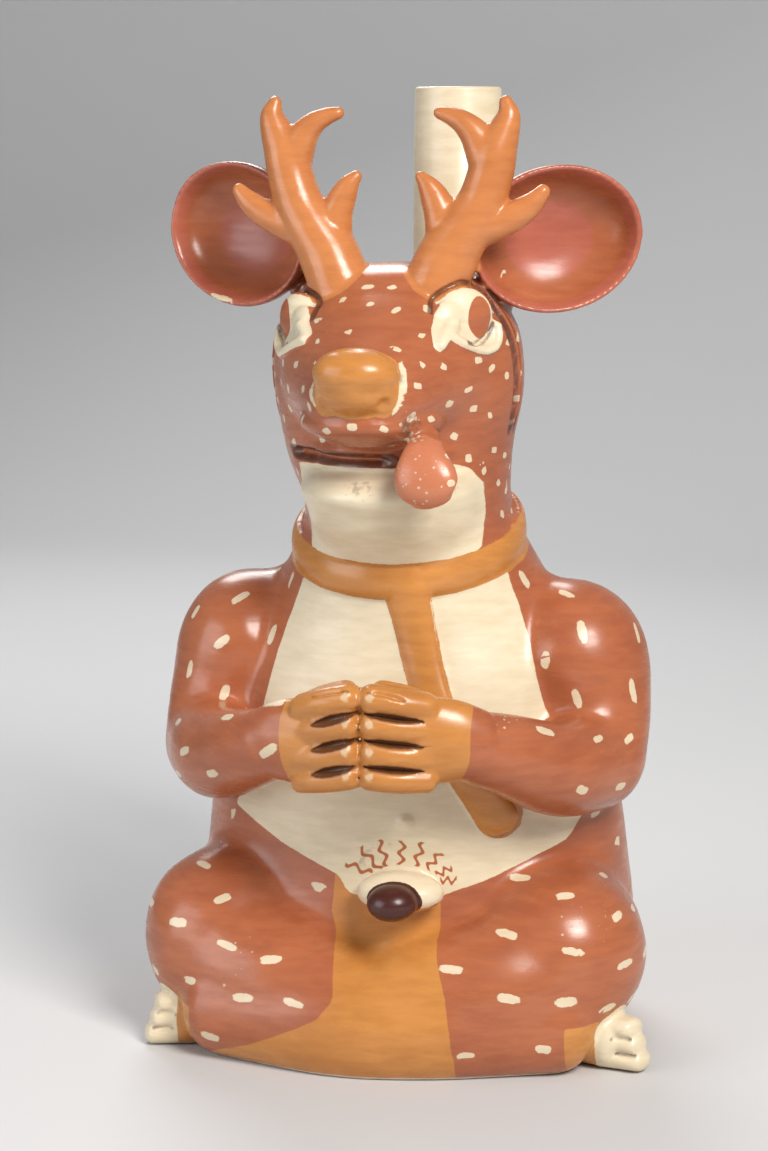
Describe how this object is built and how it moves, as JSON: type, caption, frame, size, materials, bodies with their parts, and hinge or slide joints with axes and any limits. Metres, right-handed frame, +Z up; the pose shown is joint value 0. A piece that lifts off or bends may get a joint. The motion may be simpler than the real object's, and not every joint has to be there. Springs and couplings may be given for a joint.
{
  "type": "ceramic deer effigy bottle",
  "caption": "Hollow slip-painted ceramic bottle in the form of a seated deer-headed figure, with a stirrup handle and a tubular spout behind the head.",
  "frame": {"origin": "on the flat underside, under the middle of the figure's trunk", "axes": "+Z up, the figure faces -Y, +X to the right of someone who looks at its face"},
  "size_m": [0.1492, 0.1726, 0.273],
  "materials": {
    "burnished_slip": "burnished"
  },
  "bodies": {
    "root": {"deer_effigy_bottle": "burnished_slip"}
  },
  "joints": []
}
